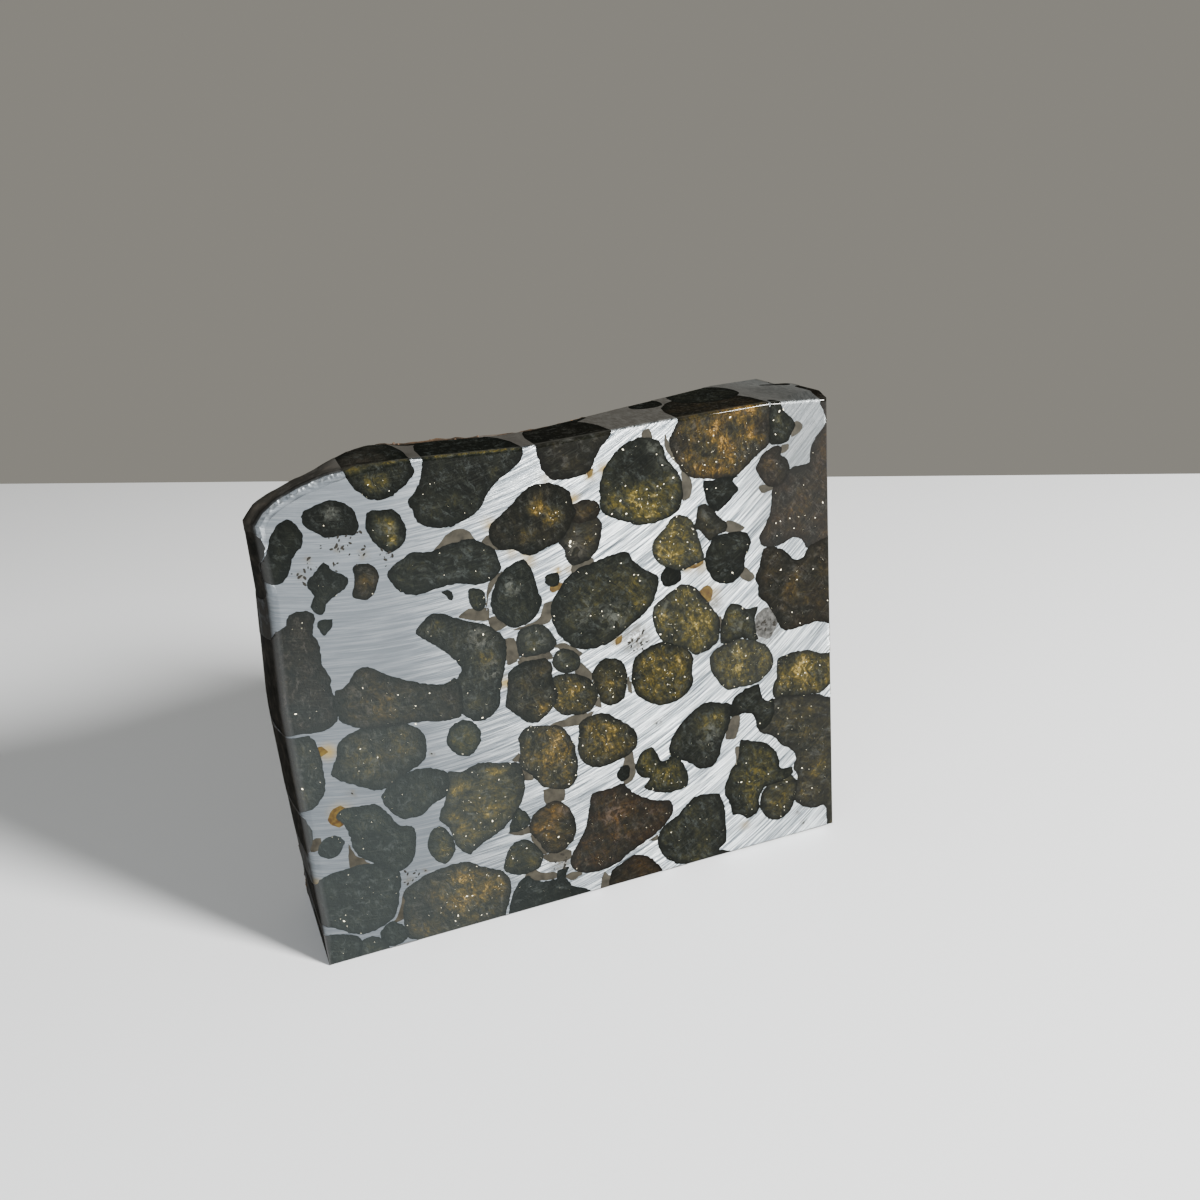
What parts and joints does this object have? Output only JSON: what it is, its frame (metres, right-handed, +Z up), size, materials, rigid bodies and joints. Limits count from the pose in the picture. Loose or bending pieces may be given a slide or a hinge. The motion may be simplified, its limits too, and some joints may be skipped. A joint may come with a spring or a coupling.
{
  "type": "pallasite meteorite end cut",
  "caption": "Pallasite meteorite end cut: polished nickel-iron face set with olivine crystals, saw cut edges, natural rounded left side and lumpy weathered back; stands on its foot.",
  "frame": {"origin": "middle of the bounding box at the level of the sawn foot, on the surface that the piece stands on", "axes": "+X along the polished face to its right as seen from the front, +Y from the polished face to the natural back, +Z up"},
  "size_m": [0.0508, 0.0156, 0.0429],
  "materials": {
    "pallasite": "polished",
    "nickel_iron": "satin",
    "olivine": "polished",
    "troilite": "satin"
  },
  "bodies": {
    "root": {"end_cut": "pallasite"}
  },
  "joints": []
}
